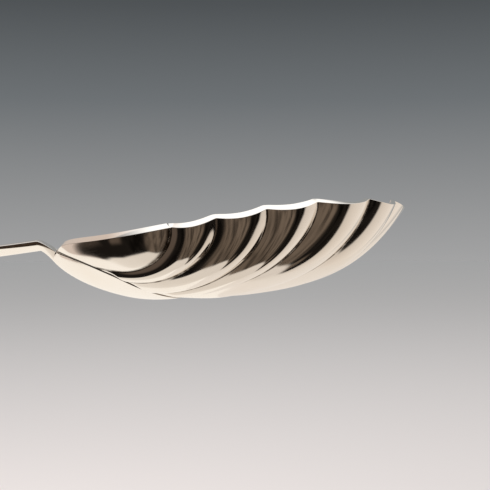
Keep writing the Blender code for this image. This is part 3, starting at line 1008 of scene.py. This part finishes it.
def leaned_azimuth(tree, azimuth, elevation):
    """Azimuth for looking up the dark room, whose edges lean out below."""
    right = tree.math("POWER", tree.spread(elevation, *LEAN_SPAN, smooth=False), LEAN_POWER)
    right = tree.product(right, LEAN_TURN, tree.spread(azimuth, *LEAN_REACH))
    left = tree.spread(elevation, *LEFT_LEAN_SPAN, smooth=False)
    left = tree.product(left, LEFT_LEAN_TURN, tree.spread(azimuth, *LEFT_LEAN_REACH))
    return tree.math("ADD", tree.math("SUBTRACT", azimuth, right), left)


def room_colour(tree, azimuth, elevation):
    """Colour of the room round the spoon, dark and streaked on the camera's side."""
    leaned = leaned_azimuth(tree, azimuth, elevation)
    first, last = LOW_ROOM_REACH
    low_room = [(at, BLACK if first < at < last else colour) for at, colour in ROOM]
    room = tree.mix(tree.spread(elevation, *LOW_ROOM_SPAN),
                    turn_ramp(tree, leaned, ROOM), turn_ramp(tree, leaned, low_room))
    grid = tree.add("ShaderNodeCombineXYZ", X=tree.math("DIVIDE", azimuth, STREAK_SIZE[0]),
                    Y=tree.math("DIVIDE", elevation, STREAK_SIZE[1])).outputs[0]
    streak = tree.add("ShaderNodeTexNoise", Vector=grid, Scale=1.0, Detail=STREAK_DETAIL).outputs[0]
    streak = tree.spread(streak, *STREAK_SPAN, *STREAK_RANGE)
    shade = tree.add("ShaderNodeCombineColor", Red=streak, Green=streak, Blue=streak).outputs[0]
    front = tree.math("LESS_THAN", tree.math("ABSOLUTE", azimuth), STREAK_REACH)
    return tree.mix(front, room, tree.mix(1.0, room, shade, "MULTIPLY"))


def above_paper(tree, azimuth, elevation):
    """0 on the paper below and 1 above its edge."""
    heights = [(at, (height / STRAIGHT_DOWN,) * 3) for at, height in PAPER_EDGE]
    edge = tree.product(turn_ramp(tree, azimuth, heights), STRAIGHT_DOWN)
    low = tree.math("SUBTRACT", edge, PAPER_BLUR)
    high = tree.math("ADD", edge, PAPER_BLUR)
    return tree.spread(elevation, low, high)


def backdrop_share(tree, azimuth, elevation):
    """1 where the backdrop shows: everywhere to the camera, and low behind the spoon in the metal."""
    path = tree.add("ShaderNodeLightPath")
    behind = tree.spread(tree.math("ABSOLUTE", azimuth), *BACKDROP_TURN)
    over_foot = tree.spread(elevation, *BACKDROP_FOOT)
    under_top = tree.spread(elevation, *BACKDROP_TOP, 1.0, 0.0)
    mirrored = tree.product(behind, over_foot, under_top, path.outputs["Is Glossy Ray"])
    return tree.math("MAXIMUM", mirrored, path.outputs["Is Camera Ray"])


def add_world():
    """The studio round the spoon: pale paper below, soft light above, a dark room on the camera's side."""
    world = bpy.data.worlds.new("studio")
    bpy.context.scene.world = world
    world.use_nodes = True
    world.node_tree.nodes.clear()
    tree = Tree(world.node_tree)
    place = tree.add("ShaderNodeTexCoord").outputs["Generated"]
    x, y, z = tree.add("ShaderNodeSeparateXYZ", Vector=place).outputs
    azimuth = tree.math("DEGREES", tree.math("ARCTAN2", x, tree.math("MULTIPLY", y, -1.0)))
    elevation = tree.math("DEGREES", tree.math("ARCSINE", z))

    paper = turn_ramp(tree, azimuth, PAPER)
    room = room_colour(tree, azimuth, elevation)
    studio = tree.mix(above_paper(tree, azimuth, elevation), paper, room)
    studio = tree.mix(tree.spread(elevation, *TOP_LIGHT_RISE), studio, (*TOP_LIGHT, 1.0))
    backdrop = tree.ramp(tree.spread(elevation, *BACKDROP_SPAN, smooth=False), BACKDROP)
    colour = tree.mix(backdrop_share(tree, azimuth, elevation), studio, backdrop)
    background = tree.add("ShaderNodeBackground", Color=colour)
    tree.add("ShaderNodeOutputWorld", Surface=background.outputs[0])


def floor_material():
    """Pale floor with a glow of its own and a painted pool of light, brighter and warmer close to the spoon.
    """
    material = bpy.data.materials.new("floor")
    material.use_nodes = True
    material.node_tree.nodes.clear()
    tree = Tree(material.node_tree)
    away = tree.add("ShaderNodeVectorMath", {"operation": "LENGTH"})
    tree.put(away.inputs[0], tree.add("ShaderNodeTexCoord").outputs["Object"])
    reach = tree.math("ADD", away.outputs["Value"], FLOOR_OFFSET)
    # Painted pool of light: brighter towards the floor's middle
    red, green, blue = [tree.math("DIVIDE", part, reach) for part in FLOOR_LIGHT_POOL]
    light_pool = tree.add("ShaderNodeCombineColor", Red=red, Green=green, Blue=blue).outputs[0]
    tint = tree.mix(1.0, light_pool, (*FLOOR_FAR, 1.0), "ADD")
    soft = tree.add("ShaderNodeBsdfDiffuse", Color=tint)
    bright = tree.add("ShaderNodeEmission", Color=tint, Strength=FLOOR_GLOW)
    both = tree.add("ShaderNodeAddShader")
    tree.put(both.inputs[0], soft.outputs[0])
    tree.put(both.inputs[1], bright.outputs[0])
    tree.add("ShaderNodeOutputMaterial", Surface=both.outputs[0])
    return material


def add_floor():
    """The pale floor below the held spoon: it takes the shadow and meets the backdrop at the horizon."""
    data = bpy.data.meshes.new("floor")
    around = np.linspace(0.0, 2.0 * math.pi, FLOOR_STEPS, endpoint=False)
    rim = np.stack([np.cos(around), np.sin(around), np.zeros_like(around)], axis=1) * FLOOR_REACH
    data.from_pydata(rim.tolist(), [], [tuple(range(FLOOR_STEPS))])
    data.materials.append(floor_material())
    floor = bpy.data.objects.new("floor", data)
    floor.location = (0.0, 0.0, -FLOOR_DROP)
    floor.visible_glossy = False
    bpy.context.scene.collection.objects.link(floor)


def add_lamp():
    """One large soft lamp overhead, for the shadow on the floor."""
    data = bpy.data.lights.new("overhead", "AREA")
    data.shape = "DISK"
    data.size = LAMP_SIZE
    data.energy = LAMP_POWER
    lamp = bpy.data.objects.new("overhead", data)
    lamp.location = LAMP_PLACE
    lamp.visible_glossy = False
    bpy.context.scene.collection.objects.link(lamp)


def add_camera():
    """The photo's camera."""
    data = bpy.data.cameras.new("camera")
    data.lens = CAMERA_LENS
    data.sensor_width = CAMERA_SENSOR
    data.clip_start, data.clip_end = CAMERA_CLIP
    camera = bpy.data.objects.new("camera", data)
    turn = Matrix.Rotation(0.5 * math.pi + CAMERA_PITCH, 4, "X") @ Matrix.Rotation(CAMERA_ROLL, 4, "Z")
    camera.matrix_world = Matrix.Translation(CAMERA_PLACE) @ turn
    bpy.context.scene.collection.objects.link(camera)
    bpy.context.scene.camera = camera


bowl = build_bowl()
handle = build_handle()
solder = build_solder()
for piece, node, slot, finish in ((bowl, "bowl", "bowl_silver", bowl_metal()),
                                  (handle, "handle", "handle_silver", handle_metal()),
                                  (solder, "solder_seam", "silver_solder", solder_metal())):
    piece.data.materials.append(finish)
    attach(piece, "root")
    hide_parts(node)
add_camera()

bpy.context.scene.view_settings.view_transform = "Standard"
add_world()
add_floor()
add_lamp()
